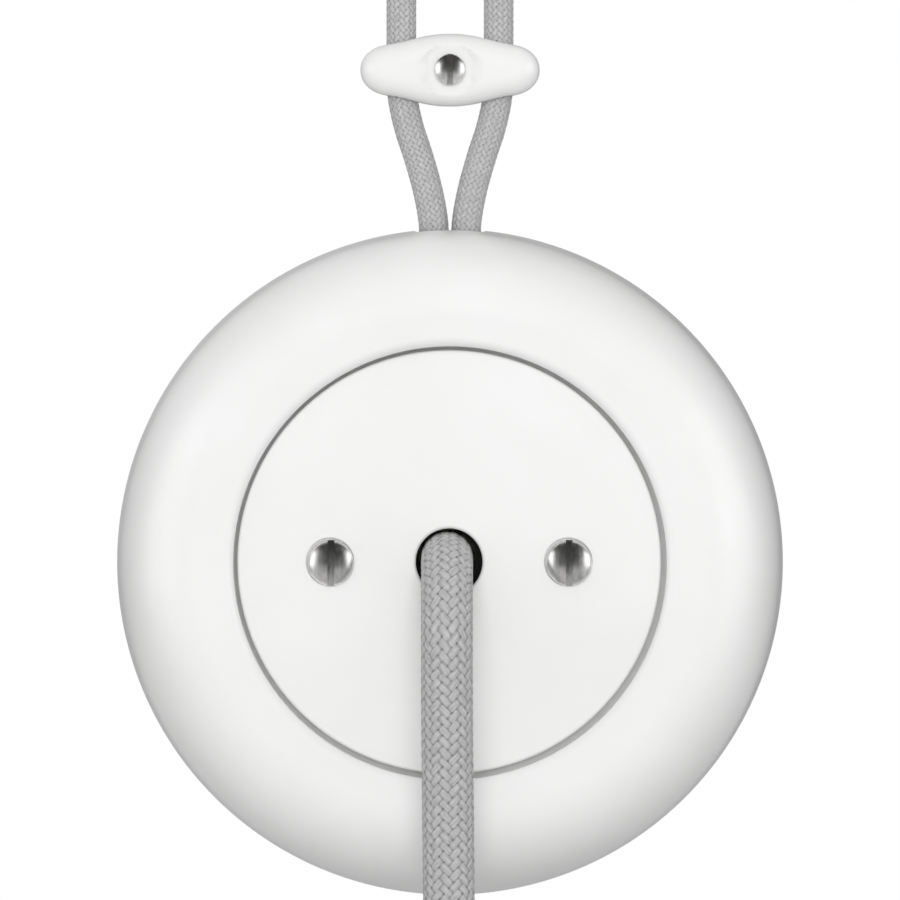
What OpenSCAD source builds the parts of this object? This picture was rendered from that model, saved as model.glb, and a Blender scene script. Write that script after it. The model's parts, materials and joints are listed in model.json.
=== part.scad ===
// Surface-mounted porcelain pull cord switch with a two-wire cleat.
// +Z is up and the wall is the plane Y = 0; the switch stands out from it towards -Y.
// Most parts are drawn in wall coordinates: x to the right, y up, z out from the wall.

/* [Covers] */
// Diameter of the ring cover at the wall
cover_d = 100; // [99:0.5:101]
// Height of the ring cover's crest above the wall
cover_h = 36; // [35.5:0.25:37]
// Diameter of the disc cover
disc_d = 63; // [62.5:0.1:63.5]
// Diameter of the cord hole in the disc
cord_hole_d = 9.9; // [9.8:0.1:10.4]
// Distance between the two cover screws
cover_screw_spacing = 35.4; // [35.2:0.1:36]
// Head diameter of a cover screw
cover_screw_head_d = 6.9; // [6.4:0.1:7.2]

/* [Wall fixing] */
// Distance between the two wall screw holes
wall_screw_spacing = 60; // [56:1:62]
// Diameter of a wall screw hole
wall_screw_d = 4.5; // [4:0.25:5]

/* [Cords] */
// Diameter of the braided pull cord
cord_d = 7.4; // [7:0.1:7.4]
// Diameter of a braided supply wire
wire_d = 4.3; // [4:0.1:4.3]

/* [Mechanism] */
// How far the pull cord travels
pull_travel = 7; // [7]
// Number of teeth on the drive pinion
pinion_teeth = 14; // [14]
// Wire thickness of the return spring
spring_wire = 0.9; // [0.7:0.1:0.9]

/* [Cleat] */
// Length of the cleat
cleat_length = 26.9; // [26:0.1:28]
// Height of the cleat above the centre of the switch
cleat_up = 73.8; // [73:0.2:75]

/* [Pull knob] */
// Largest diameter of the pull knob
knob_d = 25; // [22:1:28]
// Length of the pull knob
knob_length = 34; // [32:1:36]

/* [Hidden] */
$fn = 64;

porcelain = [0.93, 0.92, 0.90];
black_moulding = [0.07, 0.07, 0.07];
nickel = [0.72, 0.71, 0.69];
brass = [0.78, 0.62, 0.32];
spring_steel = [0.55, 0.56, 0.58];
copper = [0.78, 0.45, 0.28];
silver = [0.85, 0.85, 0.86];
cord_grey = [0.62, 0.62, 0.61];
wire_grey = [0.70, 0.70, 0.70];

// Covers, measured as radius and distance out from the wall
cover_r = cover_d / 2;
cover_wall = 4.8;
cover_draft = 0.8;
shoulder_out = cover_h - 16;
crest_r = cover_r - 12.6;
recess_r = disc_d / 2 + 0.7;
seat_out = 29.5;
flange_r = recess_r - 2.2;
flange_back = 25.5;
lip_round = 1.5;
disc_r = disc_d / 2;
disc_front = 33.7;
screw_x = cover_screw_spacing / 2;
screw_seat_out = 33.1;
notch_half = 5.2;
notch_out = 7.2;

// Base plate
plate_r = cover_r - 5.4;
plate_t = 5;
pillar_r = 5;
pillar_out = 22;
insert_r = 2.6;
channel_half = 6.5;
terminal_x = 6;

// The cord leaves the disc a little above and to the left of the hole's centre
cord_r = cord_d / 2;
cord_x = -0.45;
cord_up = 0.85;
wire_r = wire_d / 2;

// Mechanism box
box_half = 11.5;
box_low = -27;
box_high = 14;
box_back = plate_t;
box_front = 25.2;
box_wall = 1.3;
plate_front = 27;
corner_screw_x = 9.3;
corner_screw_ys = [-24.8, 11.8];

// Rack and pinion
pitch_r = pull_travel / (PI / 2);
gear_pitch = 2 * PI * pitch_r / pinion_teeth;
axle_up = -13.46;
axle_out = 15.5;
axle_r = 1.5;
rack_pitch_up = axle_up + pitch_r;
shuttle_back = 7.5;
barrel_r = 5.2;
barrel_bore_r = 3.9;

// Contact lever
pivot_up = -19;
pivot_out = 8.5;
pivot_r = 1;
lever_x0 = -7.1;
lever_x1 = -4.3;
lever_mid = (lever_x0 + lever_x1) / 2;
nose_r = 1;
cam_low_r = 3.6;
cam_lift = 1.6;
contact_out = 21.9;
strap_t = 0.7;

// Cleat
cleat_half = cleat_length / 2;
cleat_end_r = 3.9;
cleat_mid_r = 5.35;
cleat_split = 4.5;
cleat_out = 10.5;
cleat_wire_x = 7.3;
wire_out = 4.5;

// Coil of the unseen cord
coil_centre_up = -122;
coil_out = 45;
coil_mid_r = 5.5 * cord_d;
coil_section_r = 1.21 * cord_d;
tie_angles = [62, 118];
knob_x = 4.6;
knob_top = -115;

// Routes in wall coordinates
exit_route = [
    [cord_x, cord_up, 19.5], [cord_x, cord_up, 24], [cord_x, cord_up, 29],
    [cord_x, 0.5, 33], [cord_x, -0.9, 37], [cord_x, -3.6, 40.6],
    [cord_x, -7, 43.2], [cord_x, -10.3, 44.6], [cord_x, -13, 45], [cord_x, -15, 45]
];
drop_route = [
    [cord_x, -15, 45], [cord_x, -17, 45], [-0.4, -26, 45], [-0.3, -36, 45],
    [-0.2, -46, 45], [-0.1, -54, 45], [0.1, -60, 45.8], [1, -65.5, 47.6], [2.5, -69.3, 49]
];
end_route = [
    [knob_x, -90.9, 45], [knob_x, -100, 45], [knob_x, -110, 45], [knob_x, -120, 45],
    [knob_x, -128, 45], [knob_x, -137.5, 45]
];
wire_route = [
    [6, 24.5, 10.5], [6, 27.5, 10.4], [5.2, 31.5, 8.8], [3.8, 36, 6.4], [2.7, 40, 4.9],
    [2.4, 43.5, 4.5], [2.4, 47, 4.5], [2.5, 51, 4.5], [3.4, 56, 4.5], [4.8, 61, 4.5],
    [6.1, 65, 4.5], [7, 69, 4.5], [7.3, 72.5, 4.5], [7.3, 76, 4.5], [7.3, 84, 4.5],
    [7.3, 92, 4.5]
];

// Turns wall coordinates into the part's own
module on_wall() rotate([90, 0, 0]) children();

// Extrudes along x an outline whose first axis points out from the wall and second up
module along_x(x0, x1) {
    translate([x1, 0, 0]) rotate([0, -90, 0]) linear_extrude(x1 - x0) children();
}

module block(low, high) translate(low) cube(high - low);

function unit(v) = v / norm(v);

// Points of an elliptical arc around c, from angle a0 to a1
function arc(c, rx, ry, a0, a1, n) =
    [for (i = [0:n]) let (a = a0 + (a1 - a0) * i / n) c + [rx * cos(a), ry * sin(a)]];

function tangent(path, i) =
    unit(path[min(i + 1, len(path) - 1)] - path[max(i - 1, 0)]);

// One ring of the tube's points, square to the route
function tube_ring(path, i, r, sides, ref) =
    let (t = tangent(path, i), u = unit(cross(t, ref)), w = cross(u, t))
    [for (k = [0:sides - 1]) path[i] + r * (cos(360 * k / sides) * w + sin(360 * k / sides) * u)];

// A closed tube swept along a route; ref is a direction that the route never runs in
module tube(path, r, sides, ref) {
    last = len(path) - 1;
    points = [for (i = [0:last]) each tube_ring(path, i, r, sides, ref)];
    walls = [
        for (i = [0:last - 1], k = [0:sides - 1])
            let (a = i * sides + k, b = i * sides + (k + 1) % sides)
            each [[a, b, b + sides], [a, b + sides, a + sides]]
    ];
    first_cap = [for (k = [0:sides - 1]) sides - 1 - k];
    last_cap = [for (k = [0:sides - 1]) last * sides + k];
    polyhedron(points, concat([first_cap], walls, [last_cap]));
}

// Route of a helical spring whose axis is z
function helix(r, z0, z1, turns, steps) =
    [for (i = [0:turns * steps])
        [r * cos(360 * i / steps), r * sin(360 * i / steps), z0 + (z1 - z0) * i / (turns * steps)]];

module at_cord() translate([cord_x, cord_up, 0]) children();

// Slotted dome-head screw along z, head seated at height seat
module slotted_screw(tip, seat, shank_r, head_r, head_h, slot_w) {
    edge = head_h * 0.35;
    dome = concat([[0, tip], [shank_r * 0.5, tip], [shank_r, tip + shank_r], [shank_r, seat],
        [head_r, seat], [head_r, seat + edge]],
        arc([0, seat + edge], head_r, head_h - edge, 12, 90, 9));
    difference() {
        rotate_extrude() polygon(dome);
        block([-slot_w / 2, -head_r - 1, seat + head_h * 0.45], [slot_w / 2, head_r + 1, seat + head_h + 1]);
    }
}

module base_plate() color(porcelain) on_wall() difference() {
    union() {
        cylinder(h = plate_t, r = plate_r);
        for (s = [-1, 1]) translate([s * screw_x, 0, 0]) cylinder(h = pillar_out, r = pillar_r);
        block([-9.6, 14.8, 0], [9.6, 22, 7]);
        block([-1, 15.6, 0], [1, 22, 15]);
    }
    for (s = [-1, 1]) {
        translate([s * screw_x, 0, 9]) cylinder(h = 20, r = insert_r);
        translate([s * wall_screw_spacing / 2, 0, -1]) cylinder(h = 20, r = wall_screw_d / 2);
        translate([s * wall_screw_spacing / 2, 0, 2.6]) cylinder(h = 20, r = 4.4);
    }
    for (s = [-1, 1], y = corner_screw_ys) translate([s * corner_screw_x, y, 1.5])
        cylinder(h = 20, r = 1.25);
    block([-channel_half, 32, 2.1], [channel_half, 50, 20]);
}

module ring_cover() color(porcelain) on_wall() difference() {
    outer = concat([[cover_r - 0.5, 0], [cover_r, 0.6]],
        arc([crest_r, shoulder_out], cover_r - cover_draft - crest_r, cover_h - shoulder_out, 0, 90, 20),
        [[recess_r + 3, cover_h - 0.12]],
        arc([recess_r + lip_round, cover_h - 0.3 - lip_round], lip_round, lip_round, 90, 180, 5));
    inner = concat([[recess_r, seat_out], [flange_r, seat_out], [flange_r, flange_back],
        [recess_r + 1.4, flange_back], [recess_r + 3.2, flange_back + 2], [recess_r + 4, seat_out + 1]],
        arc([crest_r, shoulder_out], cover_r - cover_wall - crest_r, cover_h - shoulder_out - 4.6, 80, 0, 10),
        [[cover_r - cover_wall, 0]]);
    rotate_extrude($fn = 128) polygon(concat(outer, inner));
    block([-notch_half, 40, -1], [notch_half, 60, notch_out]);
}

module disc_cover() color(porcelain) on_wall() difference() {
    outline = [[0, seat_out], [disc_r, seat_out], [disc_r, 31.9], [disc_r - 0.3, 32.5],
        [disc_r - 1.5, 32.85], [disc_r - 3.5, 33.2], [disc_r - 6, 33.45],
        [disc_r - 11, 33.62], [6.2, disc_front], [0, disc_front]];
    rotate_extrude($fn = 128) polygon(outline);
    translate([0, 0, seat_out - 1]) cylinder(h = 10, r = cord_hole_d / 2);
    translate([0, 0, disc_front - 0.4])
        cylinder(h = 1, r1 = cord_hole_d / 2 - 0.05, r2 = cord_hole_d / 2 + 0.95);
    for (s = [-1, 1]) translate([s * screw_x, 0, 0]) {
        translate([0, 0, seat_out - 1]) cylinder(h = 10, r = 1.9);
        translate([0, 0, screw_seat_out]) cylinder(h = 2, r = cover_screw_head_d / 2 + 0.25);
    }
}

module cover_screws() color(nickel) on_wall() for (s = [-1, 1])
    translate([s * screw_x, 0, 0]) slotted_screw(12, screw_seat_out, 1.7, cover_screw_head_d / 2, 2.3, 1);

module pillar_inserts() color(brass) on_wall() for (s = [-1, 1])
    translate([s * screw_x, 0, 10]) difference() {
        cylinder(h = 12, r = insert_r);
        translate([0, 0, -1]) cylinder(h = 14, r = 1.75);
    }

module wire_grommet() color(black_moulding) on_wall() difference() {
    union() {
        block([-notch_half, 45.3, 0], [notch_half, 49.4, notch_out]);
        block([-notch_half - 1, 43.2, 2.2], [notch_half + 1, 44.5, notch_out + 1]);
        block([-notch_half, 44.5, 2.2], [notch_half, 45.3, notch_out]);
    }
    for (s = [-1, 1]) translate([s * 2.4, 40, wire_out])
        rotate([-90, 0, 0]) cylinder(h = 12, r = wire_r + 0.1);
}

module mechanism_chassis() color(black_moulding) on_wall() difference() {
    block([-box_half, box_low, box_back], [box_half, box_high, box_front]);
    difference() {
        block([-box_half + box_wall, box_low + box_wall, box_back + 1.5],
            [box_half - box_wall, box_high - box_wall, box_front + 1]);
        for (s = [-1, 1], y = corner_screw_ys) translate([s * corner_screw_x, y, 0])
            cylinder(h = 40, r = 1.95);
    }
    for (s = [-1, 1], y = corner_screw_ys) translate([s * corner_screw_x, y, 0])
        cylinder(h = 40, r = 1.3);
    translate([-20, axle_up, axle_out]) rotate([0, 90, 0]) cylinder(h = 40, r = axle_r + 0.05);
    translate([-20, pivot_up, pivot_out]) rotate([0, 90, 0]) cylinder(h = 40, r = pivot_r);
    translate([lever_mid, box_low - 1, contact_out]) rotate([-90, 0, 0]) cylinder(h = 4, r = 1);
}

module mechanism_front_plate() color(black_moulding) on_wall() difference() {
    block([-box_half, box_low, box_front], [box_half, box_high, plate_front]);
    at_cord() translate([0, 0, box_front - 1]) cylinder(h = 5, r = 6);
    for (s = [-1, 1], y = corner_screw_ys) translate([s * corner_screw_x, y, 0]) cylinder(h = 40, r = 1.3);
}

module mechanism_screws() color(nickel) on_wall() for (s = [-1, 1], y = corner_screw_ys)
    translate([s * corner_screw_x, y, 0]) slotted_screw(2, plate_front, 1.2, 1.9, 1.5, 0.5);

module cord_bush() color(black_moulding) on_wall() at_cord() difference() {
    union() {
        translate([0, 0, box_front]) cylinder(h = 4, r = 6);
        translate([0, 0, plate_front]) cylinder(h = 1.2, r = 7.5);
    }
    translate([0, 0, box_front - 1]) cylinder(h = 7, r = 4.25);
}

// One straight-sided rack tooth, pointing down, centred at distance z out from the wall
module rack_tooth(z) polygon([
    [z - 0.62, rack_pitch_up + 0.9], [z - 0.62, rack_pitch_up + 0.75], [z - 0.42, rack_pitch_up],
    [z - 0.22, rack_pitch_up - 0.55], [z + 0.22, rack_pitch_up - 0.55],
    [z + 0.42, rack_pitch_up], [z + 0.62, rack_pitch_up + 0.75], [z + 0.62, rack_pitch_up + 0.9]
]);

module cord_shuttle() color([0.85, 0.83, 0.76]) on_wall() {
    difference() {
        union() {
            at_cord() translate([0, 0, shuttle_back]) cylinder(h = 10, r = barrel_r);
            at_cord() translate([0, 0, shuttle_back]) cylinder(h = 2, r = 8);
            block([-2.5, rack_pitch_up + 0.75, shuttle_back], [2.5, -4.5, shuttle_back + 2]);
            block([-2.5, rack_pitch_up + 0.75, shuttle_back - 0.62], [2.5, -6.9, 18.12]);
            along_x(-2.5, 2.5) for (k = [-4:1]) rack_tooth(axle_out + gear_pitch * k);
        }
        at_cord() translate([0, 0, shuttle_back + 1.5]) cylinder(h = 20, r = barrel_bore_r);
    }
}

module cord_ferrule() color(brass) on_wall() at_cord() difference() {
    translate([0, 0, shuttle_back + 1.5]) cylinder(h = 3, r = barrel_bore_r);
    translate([0, 0, shuttle_back + 2.5]) cylinder(h = 6, r = 3);
}

module return_spring() color(spring_steel) on_wall() at_cord()
    tube(helix(6.02, shuttle_back + 2 + spring_wire / 2 + 0.02, box_front - spring_wire / 2 - 0.02, 7, 14),
        spring_wire / 2, 6, [0, 0, 1]);

module drive_axle() color(spring_steel) on_wall() translate([-box_half + 0.2, axle_up, axle_out])
    rotate([0, 90, 0]) cylinder(h = 2 * box_half - 0.4, r = axle_r);

// Corner points of one pinion tooth centred at angle a
function pinion_tooth(a) = [
    for (q = [[3.75, -8.6], [pitch_r, -5], [5, -2.2], [5, 2.2], [pitch_r, 5], [3.75, 8.6]])
        q[0] * [cos(a + q[1]), sin(a + q[1])]
];

module on_axle() translate([0, axle_up, axle_out]) children();

module axle_bore() translate([-20, 0, 0]) rotate([0, 90, 0]) cylinder(h = 40, r = axle_r);

module drive_pinion() color([0.85, 0.83, 0.76]) on_wall() on_axle() difference() {
    along_x(-2.8, 2.8) polygon([for (k = [0:pinion_teeth - 1])
        each pinion_tooth(90 + 360 * (k + 0.5) / pinion_teeth)]);
    axle_bore();
}

module ratchet_wheel() color(spring_steel) on_wall() on_axle() difference() {
    along_x(3.5, 5.5) polygon([for (k = [0:3], i = [0:8])
        let (a = -9 + 90 * k + 90 * i / 8.2) (3.9 + 0.7 * i / 8.2) * [cos(a), sin(a)]]);
    axle_bore();
}

module switch_cam() color(black_moulding) on_wall() on_axle() difference() {
    along_x(-7.2, -4.2) polygon([for (i = [0:35])
        let (a = 10 * i, rise = (90 - abs((a % 180) - 90)) / 90)
        (cam_low_r + cam_lift * rise) * [cos(a - 90), sin(a - 90)]]);
    axle_bore();
}

module detent_spring() color(spring_steel) on_wall() {
    block([3.6, box_low + box_wall, 14], [5.4, box_low + box_wall + 0.4, 20.7]);
    block([3.6, box_low + box_wall, 20.3], [5.4, -12.5, 20.7]);
    along_x(3.6, 5.4) translate([20.1, axle_up + 0.1]) circle(r = 0.5, $fn = 24);
}

module contact_arm() color(brass) on_wall() difference() {
    union() {
        block([lever_x0, pivot_up - 0.8, pivot_out], [lever_x1, pivot_up + 0.8, 24]);
        along_x(lever_x0, lever_x1) translate([pivot_out, pivot_up]) circle(r = 1.9);
        along_x(lever_x0, lever_x1) translate([axle_out, pivot_up + 0.79]) circle(r = nose_r);
    }
    translate([-20, pivot_up, pivot_out]) rotate([0, 90, 0]) cylinder(h = 40, r = pivot_r + 0.05);
    translate([lever_mid, pivot_up - 5, contact_out + 0.6]) rotate([-90, 0, 0]) cylinder(h = 10, r = 0.7);
}

module contact_pivot_pin() color(spring_steel) on_wall() translate([-12.3, pivot_up, pivot_out])
    rotate([0, 90, 0]) cylinder(h = 23.6, r = pivot_r);

module contact_spring() color(spring_steel) on_wall()
    translate([lever_mid, box_low + box_wall + 0.22, 12]) rotate([-90, 0, 0])
        tube(helix(1.1, 0, 5.45, 6, 10), 0.2, 6, [0, 0, 1]);

module moving_contact() color(silver) on_wall()
    translate([lever_mid, 0, contact_out + 0.6]) rotate([90, 0, 0]) {
        translate([0, 0, -pivot_up - 0.8]) cylinder(h = 1.6, r = 0.7);
        translate([0, 0, -pivot_up + 0.8]) cylinder(h = 0.6, r = 1.3);
    }

module fixed_contact() color(silver) on_wall() translate([lever_mid, 0, contact_out]) rotate([-90, 0, 0]) {
    translate([0, 0, box_low - strap_t]) cylinder(h = strap_t + box_wall, r = 1);
    translate([0, 0, box_low + box_wall]) cylinder(h = 1.7, r = 1.4);
}

module feed_busbar() color(copper) on_wall() difference() {
    union() {
        block([-12.3, 14.1, 8], [-3.2, 14.8, 12]);
        block([-12.3, -21.5, 6.5], [-11.6, 14.8, 12]);
        block([-9, 14.1, 8], [-3.2, 14.8, 13]);
        block([-8.5, 14.1, 12], [-3.5, 15.6, 13]);
    }
    translate([-20, pivot_up, pivot_out]) rotate([0, 90, 0]) cylinder(h = 40, r = pivot_r);
}

module contact_busbar() color(copper) on_wall() difference() {
    union() {
        block([3.2, 14.1, 8], [12.3, 14.8, 12]);
        block([3.5, 14.1, 12], [8.5, 15.6, 13]);
        block([11.6, box_low - strap_t, 8], [12.3, 14.8, 12]);
        block([lever_x0, box_low - strap_t, 8], [12.3, box_low, 12]);
        block([lever_x0 - 0.2, box_low - strap_t, 8], [lever_x1 + 0.2, box_low, 23.5]);
    }
    translate([lever_mid, box_low - 2, contact_out]) rotate([-90, 0, 0]) cylinder(h = 4, r = 1);
}

module terminal_blocks() color(brass) on_wall() for (s = [-1, 1]) difference() {
    block([s * terminal_x - 2.8, 15.6, 7], [s * terminal_x + 2.8, 21.6, 14]);
    translate([s * terminal_x, 16.6, 10.5]) rotate([-90, 0, 0]) cylinder(h = 8, r = 0.95);
    translate([s * terminal_x, 18.6, 10.5]) cylinder(h = 8, r = 1.45);
}

module terminal_screws() color(nickel) on_wall() for (s = [-1, 1])
    translate([s * terminal_x, 18.6, 0]) slotted_screw(11.3, 14.6, 1.4, 2.4, 2, 0.7);

module wire_cores() color(copper) on_wall() for (s = [-1, 1])
    translate([s * terminal_x, 17, 10.5]) rotate([-90, 0, 0]) cylinder(h = 7.5, r = 0.8);

module supply_wire(s) color(wire_grey) on_wall()
    tube([for (p = wire_route) [s * p[0], p[1], p[2]]], wire_r, 10, [1, 0, 0]);

module supply_wire_left() supply_wire(-1);

module supply_wire_right() supply_wire(1);

// Crimped end of a supply wire
module wire_end(s) color(copper) on_wall()
    translate([s * cleat_wire_x, 92, wire_out]) rotate([-90, 0, 0]) {
        cylinder(h = 3, r1 = 1.9, r2 = 1.3);
        cylinder(h = 9, r = 0.9);
    }

module wire_end_left() wire_end(-1);

module wire_end_right() wire_end(1);

// Outline of the cleat: round ends, a wider middle, and hollow blends between them
module cleat_outline(inset) offset(r = -inset, $fn = 48)
    offset(r = -6, $fn = 48) offset(r = 6, $fn = 48) {
        hull() for (s = [-1, 1]) translate([s * (cleat_half - cleat_end_r), 0])
            circle(r = cleat_end_r, $fn = 48);
        circle(r = cleat_mid_r, $fn = 48);
    }

module cleat_grooves() for (s = [-1, 1]) translate([s * cleat_wire_x, -20, wire_out])
    rotate([-90, 0, 0]) cylinder(h = 40, r = wire_r + 0.35);

module at_cleat() translate([0, cleat_up, 0]) children();

module cleat_base() color(porcelain) on_wall() at_cleat() difference() {
    linear_extrude(cleat_split - 0.1) cleat_outline(0);
    cleat_grooves();
    translate([0, 0, -1]) cylinder(h = 20, r = 1.7);
}

module cleat_cap() color(porcelain) on_wall() at_cleat() difference() {
    union() {
        translate([0, 0, cleat_split]) linear_extrude(cleat_out - cleat_split - 1.2) cleat_outline(0);
        translate([0, 0, cleat_split]) linear_extrude(cleat_out - cleat_split - 0.5) cleat_outline(0.35);
        translate([0, 0, cleat_split]) linear_extrude(cleat_out - cleat_split) cleat_outline(0.95);
    }
    cleat_grooves();
    translate([0, 0, -1]) cylinder(h = 20, r = 1.7);
    translate([0, 0, cleat_out - 0.4]) cylinder(h = 2, r = 3.9);
}

module cleat_screw() color(nickel) on_wall() at_cleat()
    slotted_screw(0.3, cleat_out - 0.4, 1.5, 2.33, 1.7, 0.84);

module pull_cord_exit() color(cord_grey) on_wall() tube(exit_route, cord_r, 12, [1, 0, 0]);

module pull_cord_drop() color(cord_grey) on_wall() tube(drop_route, cord_r, 12, [1, 0, 0]);

module pull_cord_end() color(cord_grey) on_wall() tube(end_route, cord_r, 12, [1, 0, 0]);

module pull_cord_coil() color(cord_grey) on_wall() translate([0, coil_centre_up, coil_out])
    rotate_extrude() translate([coil_mid_r, 0]) circle(r = coil_section_r, $fn = 32);

module cord_ties() color(cord_grey) on_wall() for (a = tie_angles)
    translate([coil_mid_r * cos(a), coil_centre_up + coil_mid_r * sin(a), coil_out])
        rotate([0, 0, a]) rotate([90, 0, 0]) difference() {
            cylinder(h = 7, r = coil_section_r + 1.3, center = true);
            cylinder(h = 9, r = coil_section_r + 0.25, center = true);
        }

module pull_knob() color(porcelain) translate([knob_x, -coil_out, knob_top]) difference() {
    r = knob_d / 2;
    rotate_extrude() polygon(concat([[0, 0], [5.4, 0], [6.2, -0.8], [6.4, -2]],
        [for (i = [1:8]) let (t = i / 8)
            [6.4 + (r - 6.4) * (1 - cos(180 * t)) / 2, -2 - (knob_length - 9) * t]],
        [[r, -knob_length + 4], [r - 0.5, -knob_length + 1.2], [r - 1.8, -knob_length], [0, -knob_length]]));
    translate([0, 0, -knob_length - 1]) cylinder(h = knob_length + 2, r = cord_r + 0.2);
    translate([0, 0, -knob_length - 1]) cylinder(h = 12.5, r = 8);
}

module knob_knot() color(cord_grey) translate([knob_x, -coil_out, knob_top]) rotate_extrude() polygon(concat(
    [[0, -22.5], [3.6, -22.5]], arc([1.6, -26.5], 5.6, 4, 70, -70, 10), [[3.4, -31], [3.2, -33], [0, -33]]));

base_plate();
ring_cover();
disc_cover();
cover_screws();
pillar_inserts();
wire_grommet();
mechanism_chassis();
mechanism_front_plate();
mechanism_screws();
cord_bush();
cord_shuttle();
cord_ferrule();
return_spring();
drive_axle();
drive_pinion();
ratchet_wheel();
switch_cam();
detent_spring();
contact_arm();
contact_pivot_pin();
contact_spring();
moving_contact();
fixed_contact();
feed_busbar();
contact_busbar();
terminal_blocks();
terminal_screws();
wire_cores();
supply_wire_left();
supply_wire_right();
wire_end_left();
wire_end_right();
cleat_base();
cleat_cap();
cleat_screw();
pull_cord_exit();
pull_cord_drop();
pull_cord_coil();
pull_cord_end();
cord_ties();
pull_knob();
knob_knot();
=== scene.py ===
import json
import math

import bmesh
import bpy
import numpy as np
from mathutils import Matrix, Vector


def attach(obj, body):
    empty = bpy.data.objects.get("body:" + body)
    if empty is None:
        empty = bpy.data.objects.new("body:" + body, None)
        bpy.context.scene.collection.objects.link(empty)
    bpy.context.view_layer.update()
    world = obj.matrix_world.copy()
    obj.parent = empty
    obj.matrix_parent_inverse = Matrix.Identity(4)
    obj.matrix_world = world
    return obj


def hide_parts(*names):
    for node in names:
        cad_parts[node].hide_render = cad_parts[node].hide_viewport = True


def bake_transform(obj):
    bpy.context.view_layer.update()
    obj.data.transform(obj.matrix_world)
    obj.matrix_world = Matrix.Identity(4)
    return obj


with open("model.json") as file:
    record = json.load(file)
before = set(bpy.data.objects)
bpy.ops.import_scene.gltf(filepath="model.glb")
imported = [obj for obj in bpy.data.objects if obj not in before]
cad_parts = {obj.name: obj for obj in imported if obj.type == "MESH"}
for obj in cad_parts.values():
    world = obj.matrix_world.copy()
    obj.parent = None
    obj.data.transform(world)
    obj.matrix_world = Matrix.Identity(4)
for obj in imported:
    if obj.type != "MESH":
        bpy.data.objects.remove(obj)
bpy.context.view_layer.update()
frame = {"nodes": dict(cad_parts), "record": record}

MM = 0.001
scene = bpy.context.scene

# ---------------------------------------------------------------- sizes, in millimetres
COVER_R, COVER_OUT, SHOULDER_OUT = 50.0, 36.0, 20.0
COVER_DRAFT, COVER_WALL, CREST_R = 0.8, 4.8, 37.4
RECESS_R, SEAT_OUT, FLANGE_R, FLANGE_BACK, LIP_R = 32.2, 29.5, 30.0, 25.5, 1.5
DISC_R, DISC_OUT, HOLE_R = 31.5, 33.7, 4.95
SCREW_X, SCREW_SEAT, SCREW_HEAD_R = 17.7, 33.1, 3.45
CORD_X, CORD_UP, CORD_D, WIRE_D = -0.45, 0.85, 7.4, 4.3
CLEAT_UP, CLEAT_HALF, CLEAT_SPLIT, CLEAT_OUT = 73.8, 13.45, 4.5, 10.5
CLEAT_WIRE_X, WIRE_OUT, GROOVE_GAP = 7.3, 4.5, 0.35
COIL_UP, COIL_OUT, COIL_R = -122.0, 45.0, 40.7
BUNDLE_R = 5.23
TIE_ANGLES = (62.0, 118.0)
TIE_HALF, TIE_CORNER = 7.95, 4.2
CORD_RELIEF, CORD_PITCH, WIRE_RELIEF, WIRE_PITCH, CARRIERS = 0.44, 1.56, 0.26, 1.0, 32
RIBBON_HALF, RIBBON_FLAT, RIBBON_HOLD, LIFT, DOME = 0.52, 4, 1.5, 0.42, 0.58
CRISP_LENGTH, WHOLE_LENGTH = 82, 900
KNOB_X, KNOB_TOP, KNOB_R, KNOB_LENGTH = 4.6, -115.0, 12.5, 34.0


def wall(x, up, out):
    """A point from wall coordinates in millimetres to the frame in metres."""
    return Vector((x, -out, up)) * MM


# ---------------------------------------------------------------- camera
def make_camera():
    data = bpy.data.cameras.new("camera")
    camera = bpy.data.objects.new("camera", data)
    scene.collection.objects.link(camera)
    distance, width, middle = 3.0, 0.1347, 0.0168
    face = 0.012
    camera.location = (0, -face - distance, middle)
    camera.rotation_euler = (math.radians(90), 0, 0)
    data.sensor_width = 36
    data.lens = 36 * distance / width
    data.clip_start, data.clip_end = 0.05, 50
    scene.camera = camera


make_camera()


# ---------------------------------------------------------------- materials
def new_material(name):
    material = bpy.data.materials.new(name)
    material.use_nodes = True
    nodes, links = material.node_tree.nodes, material.node_tree.links
    nodes.clear()
    output = nodes.new("ShaderNodeOutputMaterial")
    shader = nodes.new("ShaderNodeBsdfPrincipled")
    links.new(shader.outputs[0], output.inputs["Surface"])
    return material, nodes, links, shader


def noise(nodes, links, scale, detail=3.0, rough=0.5, coords=None):
    node = nodes.new("ShaderNodeTexNoise")
    node.inputs["Scale"].default_value = scale
    node.inputs["Detail"].default_value = detail
    node.inputs["Roughness"].default_value = rough
    if coords is None:
        coords = nodes.new("ShaderNodeTexCoord").outputs["Object"]
    links.new(coords, node.inputs["Vector"])
    return node.outputs["Fac"]


def ramp(nodes, links, value, stops):
    node = nodes.new("ShaderNodeValToRGB")
    band = node.color_ramp
    while len(band.elements) < len(stops):
        band.elements.new(0.5)
    for element, (place, colour) in zip(band.elements, stops):
        element.position = place
        element.color = (*colour, 1)
    links.new(value, node.inputs["Fac"])
    return node.outputs["Color"]


def span(nodes, links, value, low, high):
    node = nodes.new("ShaderNodeMapRange")
    node.inputs["To Min"].default_value = low
    node.inputs["To Max"].default_value = high
    links.new(value, node.inputs["Value"])
    return node.outputs["Result"]


def bump(nodes, links, shader, height, strength, distance):
    node = nodes.new("ShaderNodeBump")
    node.inputs["Strength"].default_value = strength
    node.inputs["Distance"].default_value = distance
    links.new(height, node.inputs["Height"])
    links.new(node.outputs["Normal"], shader.inputs["Normal"])


def grey(level, tint=(1, 1, 1)):
    return tuple(level * t for t in tint)


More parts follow.
